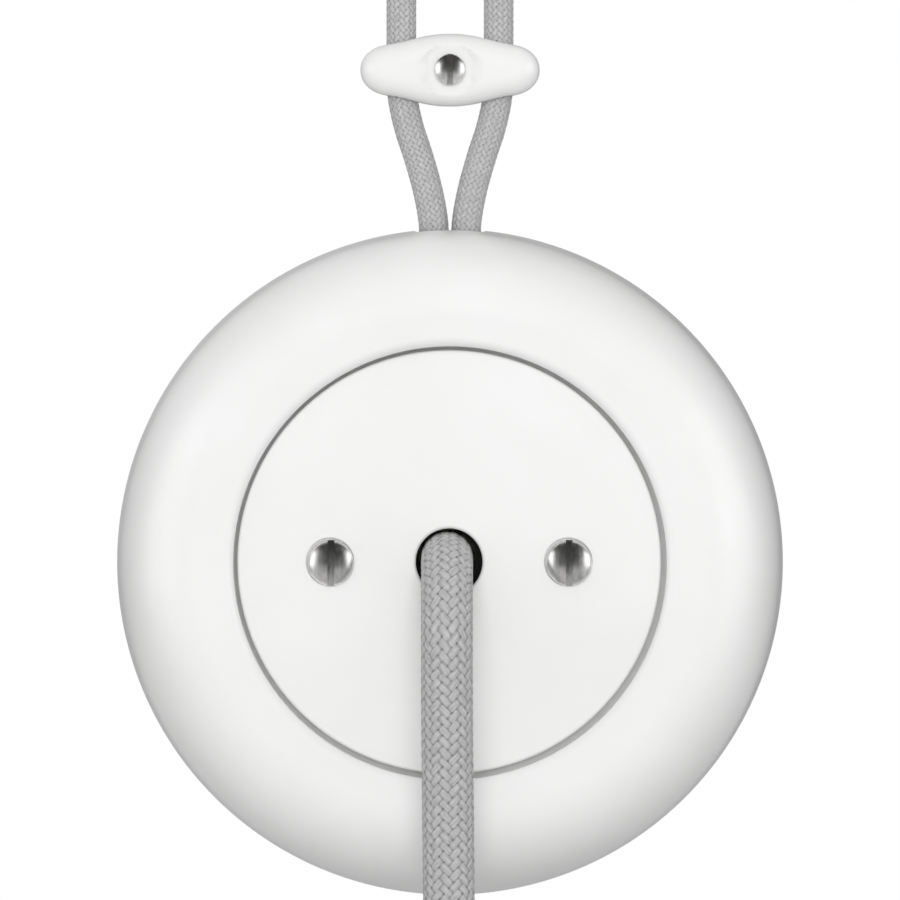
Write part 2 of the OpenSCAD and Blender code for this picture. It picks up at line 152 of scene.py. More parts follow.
def porcelain(name="porcelain_glaze", gloss=0.36):
    """White glaze: faint milky clouding, a soft uneven gloss and the shallow ripple of a dipped glaze."""
    material, nodes, links, shader = new_material(name)
    cloud = noise(nodes, links, 38, 4, 0.55)
    links.new(ramp(nodes, links, cloud, [(0.3, (0.885, 0.882, 0.875)), (0.7, (0.925, 0.925, 0.922))]),
              shader.inputs["Base Color"])
    pool = noise(nodes, links, 120, 3, 0.6)
    links.new(span(nodes, links, pool, gloss - 0.06, gloss + 0.08), shader.inputs["Roughness"])
    bump(nodes, links, shader, noise(nodes, links, 260, 2), 0.06, 0.0002)
    shader.inputs["Specular IOR Level"].default_value = 0.42
    shader.inputs["IOR"].default_value = 1.5
    return material


def bisque():
    """Unglazed porcelain, as on the back of the base."""
    material, nodes, links, shader = new_material("porcelain_bisque")
    grain = noise(nodes, links, 900, 5, 0.7)
    links.new(ramp(nodes, links, grain, [(0.25, (0.70, 0.68, 0.64)), (0.75, (0.82, 0.80, 0.77))]),
              shader.inputs["Base Color"])
    links.new(span(nodes, links, grain, 0.72, 0.92), shader.inputs["Roughness"])
    bump(nodes, links, shader, grain, 0.35, 0.0002)
    return material


def metal(name, light, dark, rough):
    """Plated or bare metal: drawn streaks across x, light tarnish and worn gloss."""
    material, nodes, links, shader = new_material(name)
    coords = nodes.new("ShaderNodeTexCoord").outputs["Object"]
    stretch = nodes.new("ShaderNodeMapping")
    stretch.inputs["Scale"].default_value = (1, 1, 0.12)
    links.new(coords, stretch.inputs["Vector"])
    lines = noise(nodes, links, 2600, 3, 0.6, stretch.outputs["Vector"])
    patina = noise(nodes, links, 420, 4, 0.6)
    mix = nodes.new("ShaderNodeMath")
    mix.operation = "MULTIPLY_ADD"
    mix.inputs[1].default_value = 0.45
    links.new(lines, mix.inputs[0])
    half = nodes.new("ShaderNodeMath")
    half.operation = "MULTIPLY"
    half.inputs[1].default_value = 0.55
    links.new(patina, half.inputs[0])
    links.new(half.outputs[0], mix.inputs[2])
    links.new(ramp(nodes, links, mix.outputs[0], [(0.35, dark), (0.62, light)]), shader.inputs["Base Color"])
    links.new(span(nodes, links, mix.outputs[0], rough - 0.1, rough + 0.16), shader.inputs["Roughness"])
    bump(nodes, links, shader, lines, 0.12, 0.0001)
    shader.inputs["Metallic"].default_value = 1.0
    return material


def moulding(name, low, high, rough, fine=700):
    """Moulded plastic or rubber with a fine mottled skin."""
    material, nodes, links, shader = new_material(name)
    skin = noise(nodes, links, fine, 4, 0.6)
    links.new(ramp(nodes, links, skin, [(0.3, low), (0.7, high)]), shader.inputs["Base Color"])
    links.new(span(nodes, links, skin, rough - 0.08, rough + 0.1), shader.inputs["Roughness"])
    bump(nodes, links, shader, skin, 0.15, 0.0001)
    return material


def braid_material(name, painted_valley_shade, crown, fibre_scale):
    """Cotton yarn: painted shade darkening the weave's hollows by how deep they lie, with fibres along each
    strand.
    """
    material, nodes, links, shader = new_material(name)
    weave = nodes.new("ShaderNodeAttribute")
    weave.attribute_name = "weave"
    yarn = nodes.new("ShaderNodeAttribute")
    yarn.attribute_name = "yarn"
    fibres = noise(nodes, links, fibre_scale, 4, 0.65, yarn.outputs["Vector"])
    heather = noise(nodes, links, 650, 3, 0.7)
    # painted shade: the hollows between strands are coloured darker than the crowns, standing in for the
    # shade that falls in them
    depth = ramp(nodes, links, weave.outputs["Fac"],
                 [(0.15, grey(painted_valley_shade)), (0.5, grey((painted_valley_shade + crown) / 2)), (0.8, grey(crown))])
    lighten = ramp(nodes, links, fibres, [(0.3, grey(0.72)), (0.7, grey(1.2))])
    drift = ramp(nodes, links, heather, [(0.3, grey(0.94)), (0.7, grey(1.05))])
    product = depth
    for factor in (lighten, drift):
        mix = nodes.new("ShaderNodeMix")
        mix.data_type = "RGBA"
        mix.blend_type = "MULTIPLY"
        mix.inputs["Factor"].default_value = 1.0
        links.new(product, mix.inputs["A"])
        links.new(factor, mix.inputs["B"])
        product = mix.outputs["Result"]
    links.new(product, shader.inputs["Base Color"])
    links.new(span(nodes, links, fibres, 0.78, 0.95), shader.inputs["Roughness"])
    bump(nodes, links, shader, fibres, 0.8, 0.00015)
    shader.inputs["Specular IOR Level"].default_value = 0.2
    shader.inputs["Sheen Weight"].default_value = 0.06
    shader.inputs["Sheen Roughness"].default_value = 0.6
    return material


def tape_material():
    """Plain woven cotton tape."""
    material, nodes, links, shader = new_material("woven_tape")
    coords = nodes.new("ShaderNodeTexCoord").outputs["UV"]
    weft = nodes.new("ShaderNodeTexWave")
    weft.inputs["Scale"].default_value = 18
    weft.inputs["Distortion"].default_value = 0.6
    links.new(coords, weft.inputs["Vector"])
    grain = noise(nodes, links, 1500, 4, 0.6)
    add = nodes.new("ShaderNodeMath")
    add.operation = "MULTIPLY_ADD"
    add.inputs[1].default_value = 0.6
    links.new(weft.outputs["Fac"], add.inputs[0])
    links.new(grain, add.inputs[2])
    links.new(ramp(nodes, links, add.outputs[0], [(0.3, grey(0.52)), (1.0, grey(0.78))]),
              shader.inputs["Base Color"])
    links.new(span(nodes, links, grain, 0.8, 0.95), shader.inputs["Roughness"])
    bump(nodes, links, shader, add.outputs[0], 0.5, 0.0002)
    return material


PORCELAIN = porcelain()
BISQUE = bisque()
NICKEL = metal("nickel_plate", grey(0.86, (1, 0.99, 0.97)), grey(0.5), 0.3)
STEEL = metal("spring_steel", grey(0.55, (0.98, 1, 1.03)), grey(0.36), 0.34)
BRASS = metal("brass", (0.72, 0.53, 0.24), (0.50, 0.35, 0.15), 0.32)
COPPER = metal("copper", (0.80, 0.42, 0.25), (0.55, 0.26, 0.15), 0.35)
SILVER = metal("contact_silver", grey(0.85), grey(0.66), 0.28)
BLACK = moulding("black_thermoset", grey(0.005), grey(0.011), 0.5)
RUBBER = moulding("grommet_rubber", grey(0.012), grey(0.022), 0.75, 1200)
NYLON = moulding("white_nylon", (0.66, 0.63, 0.54), (0.74, 0.71, 0.62), 0.42)
# the second number is the painted shade in the weave's hollows, the third the yarn's colour on its crowns
CORD_YARN = braid_material("cord_cotton", 0.05, 0.52, 3000)
WIRE_YARN = braid_material("wire_textile", 0.13, 0.56, 4200)
TAPE = tape_material()


# ---------------------------------------------------------------- mesh helpers
def link(name, mesh, material):
    piece = bpy.data.objects.new(name, mesh)
    scene.collection.objects.link(piece)
    mesh.materials.append(material)
    return piece


def grid_faces(rows, columns, closed):
    """Quads of a grid of points whose columns close on themselves if closed is true."""
    r = np.arange(rows - 1)[:, None] * columns
    k = np.arange(columns if closed else columns - 1)[None, :]
    n = (k + 1) % columns
    return np.stack([r + k, r + n, r + columns + n, r + columns + k], -1).reshape(-1, 4)


def mesh_from(name, points, faces):
    mesh = bpy.data.meshes.new(name)
    mesh.from_pydata(np.asarray(points).tolist(), [], [list(map(int, f)) for f in faces])
    mesh.update()
    return mesh


def smooth_all(mesh):
    mesh.polygons.foreach_set("use_smooth", np.ones(len(mesh.polygons), bool))


def lathe_points(profile, steps):
    """Rings of a profile of (radius, out) in millimetres round the wall's normal."""
    a = np.linspace(0, 2 * math.pi, steps, endpoint=False)
    r = np.array([p[0] for p in profile])[:, None]
    out = np.array([p[1] for p in profile])[:, None] + 0 * a[None, :]
    return np.stack([r * np.cos(a), -out, r * np.sin(a)], -1).reshape(-1, 3) * MM


def lathe(name, profile, steps, material, closed=True):
    """A closed solid of revolution; its profile runs round a ring's section."""
    loop = list(profile) + ([profile[0]] if closed else [])
    points = lathe_points(loop, steps)
    mesh = mesh_from(name, points, grid_faces(len(loop), steps, True))
    piece = link(name, mesh, material)
    tidy_mesh(mesh)
    return piece


def tidy_mesh(mesh, weld=1e-7):
    """Welds doubles and turns every face outwards."""
    work = bmesh.new()
    work.from_mesh(mesh)
    bmesh.ops.remove_doubles(work, verts=work.verts, dist=weld)
    bmesh.ops.dissolve_degenerate(work, edges=work.edges, dist=weld)
    bmesh.ops.recalc_face_normals(work, faces=work.faces)
    work.to_mesh(mesh)
    work.free()
    smooth_all(mesh)


def arc(cx, cy, rx, ry, a0, a1, n):
    """Points of an elliptical arc, angles in degrees."""
    angles = np.radians(np.linspace(a0, a1, n))
    return [(cx + rx * math.cos(a), cy + ry * math.sin(a)) for a in angles]


def line(p, q, n):
    """n points from p towards q, leaving out q."""
    return [(p[0] + (q[0] - p[0]) * i / n, p[1] + (q[1] - p[1]) * i / n) for i in range(n)]


def cutter_box(name, low, high):
    """A box between two points in wall coordinates."""
    a, b = wall(*low), wall(*high)
    mesh = bpy.data.meshes.new(name)
    work = bmesh.new()
    bmesh.ops.create_cube(work, size=1)
    for v in work.verts:
        v.co = Vector([(a[i] + b[i]) / 2 + v.co[i] * abs(b[i] - a[i]) for i in range(3)])
    work.to_mesh(mesh)
    work.free()
    piece = bpy.data.objects.new(name, mesh)
    scene.collection.objects.link(piece)
    return piece


def cutter_rod(name, start, end, radius, sides=64):
    """A round bar between two points in wall coordinates."""
    a, b = wall(*start), wall(*end)
    mesh = bpy.data.meshes.new(name)
    work = bmesh.new()
    bmesh.ops.create_cone(work, cap_ends=True, segments=sides, radius1=radius * MM,
                          radius2=radius * MM, depth=(b - a).length)
    turn = (b - a).to_track_quat("Z", "Y").to_matrix()
    for v in work.verts:
        v.co = turn @ v.co + (a + b) / 2
    work.to_mesh(mesh)
    work.free()
    piece = bpy.data.objects.new(name, mesh)
    scene.collection.objects.link(piece)
    return piece


def apply_modifiers(piece):
    bpy.context.view_layer.update()
    graph = bpy.context.evaluated_depsgraph_get()
    mesh = bpy.data.meshes.new_from_object(piece.evaluated_get(graph))
    old = piece.data
    piece.modifiers.clear()
    piece.data = mesh
    bpy.data.meshes.remove(old)


def cut(piece, *cutters):
    for cutter in cutters:
        modifier = piece.modifiers.new("cut", "BOOLEAN")
        modifier.operation = "DIFFERENCE"
        modifier.solver = "EXACT"
        modifier.object = cutter
    apply_modifiers(piece)
    for cutter in cutters:
        bpy.data.objects.remove(cutter)


def soften(piece, width, segments=2, angle=40):
    """Rounds sharp edges a little and shades the rest smoothly."""
    modifier = piece.modifiers.new("edge", "BEVEL")
    modifier.width = width * MM
    modifier.segments = segments
    modifier.limit_method = "ANGLE"
    modifier.angle_limit = math.radians(angle)
    modifier.harden_normals = False
    apply_modifiers(piece)
    shade_by_angle(piece, angle)


def shade_by_angle(piece, angle=35):
    mesh = piece.data
    smooth_all(mesh)
    mesh.set_sharp_from_angle(angle=math.radians(angle))


# ---------------------------------------------------------------- cords
EXIT_ROUTE = [
    (CORD_X, CORD_UP, 19.5), (CORD_X, CORD_UP, 24), (CORD_X, CORD_UP, 29),
    (CORD_X, 0.5, 33), (CORD_X, -0.9, 37), (CORD_X, -3.6, 40.6),
    (CORD_X, -7, 43.2), (CORD_X, -10.3, 44.6), (CORD_X, -13, 45), (CORD_X, -17, 45)]
DROP_ROUTE = [
    (-0.4, -26, 45), (-0.3, -36, 45), (-0.2, -46, 45), (-0.1, -54, 45), (0.1, -60, 45.8),
    (1.0, -65.5, 47.6), (3.0, -70, 49.3), (6.2, -74, 50.2), (10.6, -77.4, 49.8), (15.7, -80.1, 49.1)]
END_ROUTE = [
    (-13.0, -87.7, 50.2), (-7.8, -87.7, 51.6), (-2.9, -89.5, 52), (1.1, -92.9, 51.2),
    (3.7, -97.4, 49.5), (KNOB_X, -102.5, 47.3), (KNOB_X, -108, 45.8), (KNOB_X, -114, 45),
    (KNOB_X, -120, 45), (KNOB_X, -128, 45), (KNOB_X, -137.5, 45)]
WIRE_ROUTE = [
    (6, 24.5, 10.5), (6, 27.5, 10.4), (5.2, 31.5, 8.8), (3.8, 36, 6.4), (2.7, 40, 4.9),
    (2.4, 43.5, 4.5), (2.4, 47, 4.5), (2.5, 51, 4.5), (3.4, 56, 4.5), (4.8, 61, 4.5),
    (6.1, 65, 4.5), (7, 69, 4.5), (7.3, 72.5, 4.5), (7.3, 76, 4.5), (7.3, 84, 4.5),
    (7.3, 92, 4.5)]
TURNS, CROSSING = 4, 40.0


def coil_point(turned):
    """A point of the coil after turning this many degrees clockwise from the first tie.
    The four turns fill a square bundle, which twists a quarter of a turn at each crossing."""
    angle = TIE_ANGLES[0] - turned
    to_crossing = 360 - (TIE_ANGLES[1] - TIE_ANGLES[0])
    done, within = divmod(turned, 360)
    t = min(max((within - to_crossing) / CROSSING, 0), 1)
    slot = 45 - 90 * (done + t * t * (3 - 2 * t))
    r = COIL_R + BUNDLE_R * math.cos(math.radians(slot))
    a = math.radians(angle)
    return (r * math.cos(a), COIL_UP + r * math.sin(a), COIL_OUT + BUNDLE_R * math.sin(math.radians(slot)))


def coil_route():
    last = 360 * TURNS - (TIE_ANGLES[1] - TIE_ANGLES[0])
    return [coil_point(last * i / 180) for i in range(181)]


def smooth_route(points, step):
    """Evenly spaced points on the smooth curve through a list of points in wall coordinates."""
    p = np.array([wall(*q) for q in points])
    p = np.vstack([2 * p[0] - p[1], p, 2 * p[-1] - p[-2]])
    knots = np.concatenate([[0], np.cumsum(np.linalg.norm(np.diff(p, axis=0), axis=1) ** 0.5)])
    fine = []
    for i in range(1, len(p) - 2):
        t = np.linspace(knots[i], knots[i + 1], 24, endpoint=False)[:, None]
        fine.append(catmull(p[i - 1:i + 3], knots[i - 1:i + 3], t))
    fine = np.vstack(fine + [p[-2:-1]])
    along = np.concatenate([[0], np.cumsum(np.linalg.norm(np.diff(fine, axis=0), axis=1))])
    count = max(int(round(along[-1] / (step * MM))), 2)
    at = np.linspace(0, along[-1], count + 1)
    return np.stack([np.interp(at, along, fine[:, k]) for k in range(3)], -1), along[-1]


def catmull(p, k, t):
    def mix(a, b, ka, kb):
        return a * (kb - t) / (kb - ka) + b * (t - ka) / (kb - ka)
    a1, a2, a3 = (mix(p[i], p[i + 1], k[i], k[i + 1]) for i in range(3))
    b1, b2 = mix(a1, a2, k[0], k[2]), mix(a2, a3, k[1], k[3])
    return mix(b1, b2, k[1], k[2])


def carried_frames(points):
    """A sideways direction at each point, carried along so that the tube doesn't twist."""
    tangents = np.gradient(points, axis=0)
    tangents /= np.linalg.norm(tangents, axis=1)[:, None]
    side = np.zeros_like(points)
    current = np.cross(tangents[0], (0, 0, 1.0))
    if np.linalg.norm(current) < 0.1:
        current = np.cross(tangents[0], (0, 1.0, 0))
    for i, t in enumerate(tangents):
        current = current - t * np.dot(current, t)
        current /= np.linalg.norm(current)
        side[i] = current
    return tangents, side


def weave_height(around, along, carriers, pitch):
    """Height of a two-over-two braid's surface, 0 to 1, and each place's spot on its strand.
    around is in turns and along is in metres."""
    strands = carriers / 2
    a = around * strands + along / pitch
    b = -around * strands + along / pitch
    across_a, across_b = a - np.round(a), b - np.round(b)
    dome_a = np.sqrt(np.clip(1 - np.abs(across_a / RIBBON_HALF) ** RIBBON_FLAT, 0, 1))
    dome_b = np.sqrt(np.clip(1 - np.abs(across_b / RIBBON_HALF) ** RIBBON_FLAT, 0, 1))
    lift_a = np.clip(RIBBON_HOLD * np.cos(math.pi / 2 * (np.round(a) - b - 0.5)), -1, 1)
    lift_b = -np.clip(RIBBON_HOLD * np.cos(math.pi / 2 * (a - np.round(b) - 0.5)), -1, 1)
    high_a = LIFT * lift_a + DOME * dome_a
    high_b = LIFT * lift_b + DOME * dome_b
    top_a = high_a > high_b
    height = np.clip(np.where(top_a, high_a, high_b), 0, 1)
    across = np.where(top_a, across_a + np.round(a) * 3.1, across_b + np.round(b) * 5.7)
    lengthwise = np.where(top_a, b, a)
    return height, across, lengthwise


def tube_rows(points, tangents, side, radius, relief, carriers, pitch, along, sides):
    """Points of braided rings, with each one's weave height and yarn place."""
    turn = np.arange(sides) / sides
    around, length = np.meshgrid(turn, along)
    height, across, lengthwise = weave_height(around, length, carriers, pitch * MM)
    other = np.cross(tangents, side)
    angle = 2 * math.pi * turn
    out = (side[:, None, :] * np.cos(angle)[None, :, None]
           + other[:, None, :] * np.sin(angle)[None, :, None])
    r = (radius - relief * (1 - height)) * MM
    rings = points[:, None, :] + out * r[:, :, None]
    yarn = np.stack([across, lengthwise * 0.12, 0 * across], -1)
    return rings.reshape(-1, 3), height.reshape(-1), yarn.reshape(-1, 3) * pitch * MM


def stitch(first, second, sides):
    """Faces between a fine ring and a ring with half as many points."""
    faces = []
    for k in range(sides // 2):
        a, m, b = first + 2 * k, first + 2 * k + 1, first + (2 * k + 2) % sides
        c, d = second + k, second + (k + 1) % (sides // 2)
        faces += [(a, m, c), (m, d, c), (m, b, d)]
    return faces


def braided_cord(name, route, diameter, relief, carriers, pitch, material, fine_until, steps, sides):
    """A closed braided tube along a route: fine up to a length in millimetres and coarser beyond it."""
    sections = []
    for step in steps:
        sections.append(smooth_route(route, step))
    length = sections[0][1]
    radius = diameter / 2 + relief * 0.35
    points, heights, yarns, faces, rings = [], [], [], [], []
    base, ends = 0, []
    for (centre, _), step, count, part in zip(sections, steps, sides, ("fine", "coarse")):
        along = np.linspace(0, length, len(centre))
        tangents, side = carried_frames(centre)
        keep = along <= fine_until * MM if part == "fine" else along > fine_until * MM
        if not keep.any():
            continue
        rows = tube_rows(centre[keep], tangents[keep], side[keep], radius, relief, carriers, pitch,
                         along[keep], count)
        points.append(rows[0])
        heights.append(rows[1])
        yarns.append(rows[2])
        faces += (grid_faces(int(keep.sum()), count, True) + base).tolist()
        ends.append((base, base + (int(keep.sum()) - 1) * count, count))
        base += int(keep.sum()) * count
    if len(ends) == 2:
        faces += stitch(ends[0][1], ends[1][0], ends[0][2])
    faces.append([ends[0][0] + k for k in reversed(range(ends[0][2]))])
    faces.append([ends[-1][1] + k for k in range(ends[-1][2])])
    mesh = mesh_from(name, np.vstack(points), faces)
    weave = mesh.attributes.new("weave", "FLOAT", "POINT")
    weave.data.foreach_set("value", np.concatenate(heights).astype(np.float32))
    yarn = mesh.attributes.new("yarn", "FLOAT_VECTOR", "POINT")
    yarn.data.foreach_set("vector", np.vstack(yarns).astype(np.float32).reshape(-1))
    outward(mesh)
    smooth_all(mesh)
    return link(name, mesh, material), length


def outward(mesh):
    work = bmesh.new()
    work.from_mesh(mesh)
    bmesh.ops.recalc_face_normals(work, faces=work.faces)
    work.to_mesh(mesh)
    work.free()


def make_pull_cord():
    route = EXIT_ROUTE + DROP_ROUTE + coil_route() + END_ROUTE
    cord, length = braided_cord("pull_cord_braid", route, CORD_D, CORD_RELIEF, CARRIERS, CORD_PITCH,
                                CORD_YARN, CRISP_LENGTH, (0.16, 0.40), (128, 64))
    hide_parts("pull_cord_exit", "pull_cord_drop", "pull_cord_coil", "pull_cord_end")
    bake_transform(cord)
    path, _ = smooth_route(route, 2)
    return cord, length, path.tolist()


def make_supply_wire(name, side):
    route = [(side * x, up, out) for x, up, out in WIRE_ROUTE]
    wire, length = braided_cord(name + "_braid", route, WIRE_D, WIRE_RELIEF, CARRIERS, WIRE_PITCH,
                                WIRE_YARN, WHOLE_LENGTH, (0.12, 1.0), (96, 48))
    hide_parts(name)
    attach(wire, "root")
    path, _ = smooth_route(route, 1)


pull_cord, pull_cord_length, pull_cord_path = make_pull_cord()
make_supply_wire("supply_wire_left", -1)
make_supply_wire("supply_wire_right", 1)


# ---------------------------------------------------------------- pull knob, its knot and the ties
def upright_lathe(name, profile, steps, material, x, out):
    """A solid of revolution round a vertical line; the profile is (radius, up)."""
    a = np.linspace(0, 2 * math.pi, steps, endpoint=False)
    loop = list(profile) + [profile[0]]
    r = np.array([p[0] for p in loop])[:, None]
    up = np.array([p[1] for p in loop])[:, None] + 0 * a[None, :]
    points = np.stack([x + r * np.cos(a), -out + r * np.sin(a), up], -1).reshape(-1, 3) * MM
    mesh = mesh_from(name, points, grid_faces(len(loop), steps, True))
    piece = link(name, mesh, material)
    tidy_mesh(mesh)
    return piece


def make_knob():
    top, bottom = KNOB_TOP, KNOB_TOP - KNOB_LENGTH
    bore, mouth = CORD_D / 2 + 0.25, 8.0
    bell = [(6.4 + (KNOB_R - 6.4) * (1 - math.cos(math.pi * t)) / 2, top - 2 - (KNOB_LENGTH - 9) * t)
            for t in np.linspace(0, 1, 40)]
    profile = ([(bore, top - 0.8)] + arc(bore + 0.8, top - 0.8, 0.8, 0.8, 180, 90, 6)[1:]
               + arc(5.0, top - 1.4, 1.4, 1.4, 90, 10, 8) + bell
               + arc(KNOB_R - 2.4, bottom + 3.4, 2.4, 3.4, 0, -80, 12)
               + arc(mouth + 0.8, bottom + 0.8, 0.8, 0.8, -90, -180, 6)
               + line((mouth, bottom + 1), (mouth, bottom + 10), 6)
               + arc(mouth - 1.4, bottom + 10, 1.4, 1.4, 0, 90, 5)
               + line((mouth - 2, bottom + 11.5), (bore, bottom + 11.5), 4)
               + line((bore, bottom + 11.5), (bore, top - 0.8), 10))
    knob = upright_lathe("pull_knob_porcelain", profile, 128, PORCELAIN, KNOB_X, COIL_OUT)
    shade_by_angle(knob, 50)
    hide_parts("pull_knob")
    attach(knob, "pull_cord")
    return knob


def make_knot():
    """An overhand stopper knot under the knob's shoulder: three braided wraps and a cut tail."""
    wraps = []
    for i in range(61):
        a = 2 * math.pi * 1.5 * i / 60
        wraps.append((KNOB_X + 3.2 * math.cos(a), KNOB_TOP - 25.2 - 3.0 * i / 60,
                      COIL_OUT + 3.2 * math.sin(a)))
    tail = [(KNOB_X + 0.4, KNOB_TOP - 29.6, COIL_OUT), (KNOB_X, KNOB_TOP - 31.2, COIL_OUT),
            (KNOB_X, KNOB_TOP - 32.8, COIL_OUT)]
    knot, _ = braided_cord("knob_knot_braid", wraps + tail, 6.4, 0.45, CARRIERS, 1.5, CORD_YARN,
                           WHOLE_LENGTH, (0.25, 1.0), (64, 32))
    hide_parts("knob_knot")
    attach(knot, "pull_cord")
    return knot


def band_outline(half, corner):
    """A rounded square round the bundle's section, as (radial, out)."""
    corners = ((1, 1, 0), (-1, 1, 90), (-1, -1, 180), (1, -1, 270))
    inner = half - corner
    points = []
    for sx, sy, a0 in corners:
        points += arc(sx * inner, sy * inner, corner, corner, a0, a0 + 90, 10)
    return points


def make_tie(number, angle):
    """A flat woven tape wound round the bundle, its edges slightly raised and its end tucked under."""
    a = math.radians(angle)
    radial = Vector((math.cos(a), 0, math.sin(a)))
    outward_axis = Vector((0, -1, 0))
    tangent = Vector((math.sin(a), 0, -math.cos(a)))
    centre = Vector((COIL_R * math.cos(a), -COIL_OUT, COIL_UP + COIL_R * math.sin(a))) * MM
    section = [(-3.4, 0.0), (-3.5, 0.35), (-3.3, 0.85), (-2.6, 0.98), (-1.2, 0.9), (0, 0.88),
               (1.2, 0.9), (2.6, 0.98), (3.3, 0.85), (3.5, 0.35), (3.4, 0.0)]
    outline = band_outline(TIE_HALF, TIE_CORNER)
    rows = []
    for k, (r, o) in enumerate(outline):
        lap = 0.35 if k in range(4, 16) else 0.0
        normal = Vector((r, o)).normalized()
        for along, thick in section:
            wave = 0.12 * math.sin(k * 0.9 + along)
            rr, oo = r + normal.x * (thick + lap * (thick > 0)), o + normal.y * (thick + lap * (thick > 0))
            rows.append(centre + (radial * rr + outward_axis * oo + tangent * (along + wave)) * MM)
    n, m = len(outline), len(section)
    faces = []
    for k in range(n):
        for j in range(m):
            a0, a1 = k * m + j, k * m + (j + 1) % m
            b0, b1 = ((k + 1) % n) * m + j, ((k + 1) % n) * m + (j + 1) % m
            faces.append((a0, a1, b1, b0))
    mesh = mesh_from(f"cord_tie_{number}", rows, faces)
    uv = mesh.uv_layers.new(name="UVMap")
    for loop in mesh.loops:
        k, j = divmod(loop.vertex_index, m)
        uv.data[loop.index].uv = (k / n, j / m)
    tie = link(f"cord_tie_{number}", mesh, TAPE)
    outward(mesh)
    smooth_all(mesh)
    modifier = tie.modifiers.new("round", "SUBSURF")
    modifier.levels = 2
    apply_modifiers(tie)
    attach(tie, "pull_cord")
    return tie


knob = make_knob()
knot = make_knot()
ties = [make_tie(i + 1, angle) for i, angle in enumerate(TIE_ANGLES)]
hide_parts("cord_ties")


# ---------------------------------------------------------------- porcelain covers
def cover_profile():
    """The ring cover's section from the wall, over the crest and the recess, and back inside."""
    outer_rx, outer_ry = COVER_R - COVER_DRAFT - CREST_R, COVER_OUT - SHOULDER_OUT
    crest_end = RECESS_R + LIP_R
    outer = arc(COVER_R - 0.6, 0.6, 0.6, 0.6, -90, 0, 5)
    outer += line((COVER_R, 1.2), (COVER_R - COVER_DRAFT, SHOULDER_OUT), 16)
    outer += arc(CREST_R, SHOULDER_OUT, outer_rx, outer_ry, 0, 90, 72)
    outer += line((CREST_R - 0.4, COVER_OUT), (crest_end, COVER_OUT - 0.3), 8)
    outer += arc(crest_end, COVER_OUT - 0.3 - LIP_R, LIP_R, LIP_R, 90, 180, 12)
    outer += line((RECESS_R, COVER_OUT - 2), (RECESS_R, SEAT_OUT), 6)
    inner = [(RECESS_R, SEAT_OUT), (FLANGE_R + 0.3, SEAT_OUT), (FLANGE_R, SEAT_OUT - 0.3),
             (FLANGE_R, FLANGE_BACK + 0.3), (FLANGE_R + 0.3, FLANGE_BACK),
             (RECESS_R + 1.4, FLANGE_BACK), (RECESS_R + 3.2, FLANGE_BACK + 2), (RECESS_R + 4, SEAT_OUT + 1)]
    inner += arc(CREST_R, SHOULDER_OUT, COVER_R - COVER_WALL - CREST_R, outer_ry - 4.6, 80, 0, 24)
    inner += line((COVER_R - COVER_WALL, SHOULDER_OUT - 1), (COVER_R - COVER_WALL, 0), 12)
    inner += [(COVER_R - COVER_WALL, 0.3), (COVER_R - COVER_WALL + 0.3, 0)]
    return outer + inner


def make_ring_cover():
    ring = lathe("ring_cover_porcelain", cover_profile(), 256, PORCELAIN)
    cut(ring, cutter_box("notch", (-5.2, 40, -1), (5.2, 60, 7.2)))
    shade_by_angle(ring, 38)
    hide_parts("ring_cover")
    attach(ring, "root")


def disc_profile():
    """The disc's section: nearly flat, falling gently over the last 6 mm to a small round rim."""
    top = line((HOLE_R + 0.55, DISC_OUT), (DISC_R - 12, DISC_OUT - 0.05), 40)
    fall = []
    for i in range(41):
        t = i / 40
        fall.append((DISC_R - 12 + 11.4 * t, DISC_OUT - 0.05 - 0.85 * t ** 3.2))
    rim_out = DISC_OUT - 0.9
    rim = arc(DISC_R - 0.6, rim_out - 0.6, 0.6, 0.6, 80, 0, 8)
    side = line((DISC_R, rim_out - 0.8), (DISC_R, SEAT_OUT + 0.2), 5)
    back = [(DISC_R - 0.2, SEAT_OUT), (HOLE_R + 0.3, SEAT_OUT), (HOLE_R, SEAT_OUT + 0.3)]
    bore = line((HOLE_R, SEAT_OUT + 0.4), (HOLE_R, DISC_OUT - 0.55), 8)
    mouth = arc(HOLE_R + 0.55, DISC_OUT - 0.55, 0.55, 0.55, 180, 92, 10)
    return top + fall + rim + side + back + bore + mouth


def make_disc_cover():
    disc = lathe("disc_cover_porcelain", disc_profile(), 256, PORCELAIN)
    for side in (-1, 1):
        x = side * SCREW_X
        cut(disc, cutter_rod("hole", (x, 0, SEAT_OUT - 2), (x, 0, DISC_OUT + 3), 1.9),
            cutter_rod("seat", (x, 0, SCREW_SEAT), (x, 0, DISC_OUT + 3), SCREW_HEAD_R + 0.16))
    shade_by_angle(disc, 38)
    disc.location = (-0.00013, 0, 0.00018)
    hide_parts("disc_cover")
    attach(disc, "root")


make_ring_cover()
make_disc_cover()


